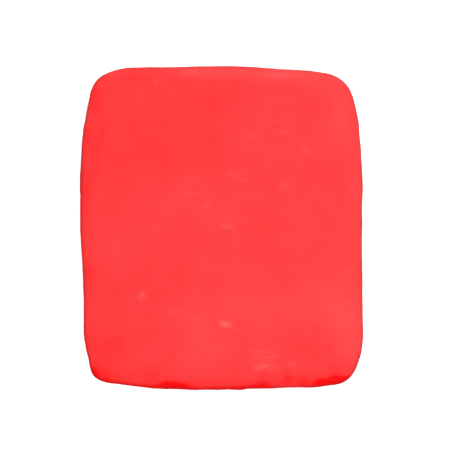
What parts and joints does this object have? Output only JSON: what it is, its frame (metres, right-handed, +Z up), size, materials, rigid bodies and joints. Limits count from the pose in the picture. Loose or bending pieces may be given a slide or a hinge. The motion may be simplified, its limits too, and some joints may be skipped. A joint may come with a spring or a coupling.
{
  "type": "cue chalk cube",
  "caption": "Rounded block of pressed red cue chalk with a bare chalk face on top and thin paper labels glued round its sides and under its base.",
  "frame": {"origin": "middle of the underside, on the surface that the cube stands on", "axes": "+Z up out of the chalk face, +Y along the longer way across the face, towards the back side, +X to the right side"},
  "size_m": [0.022, 0.0255, 0.022],
  "materials": {
    "chalk": "smooth pressed chalk, soft sheen",
    "side_paper": "printed coated paper",
    "base_paper": "printed coated paper"
  },
  "bodies": {
    "root": {"chalk_block": "chalk", "side_label": "side_paper", "base_label": "base_paper"}
  },
  "joints": []
}
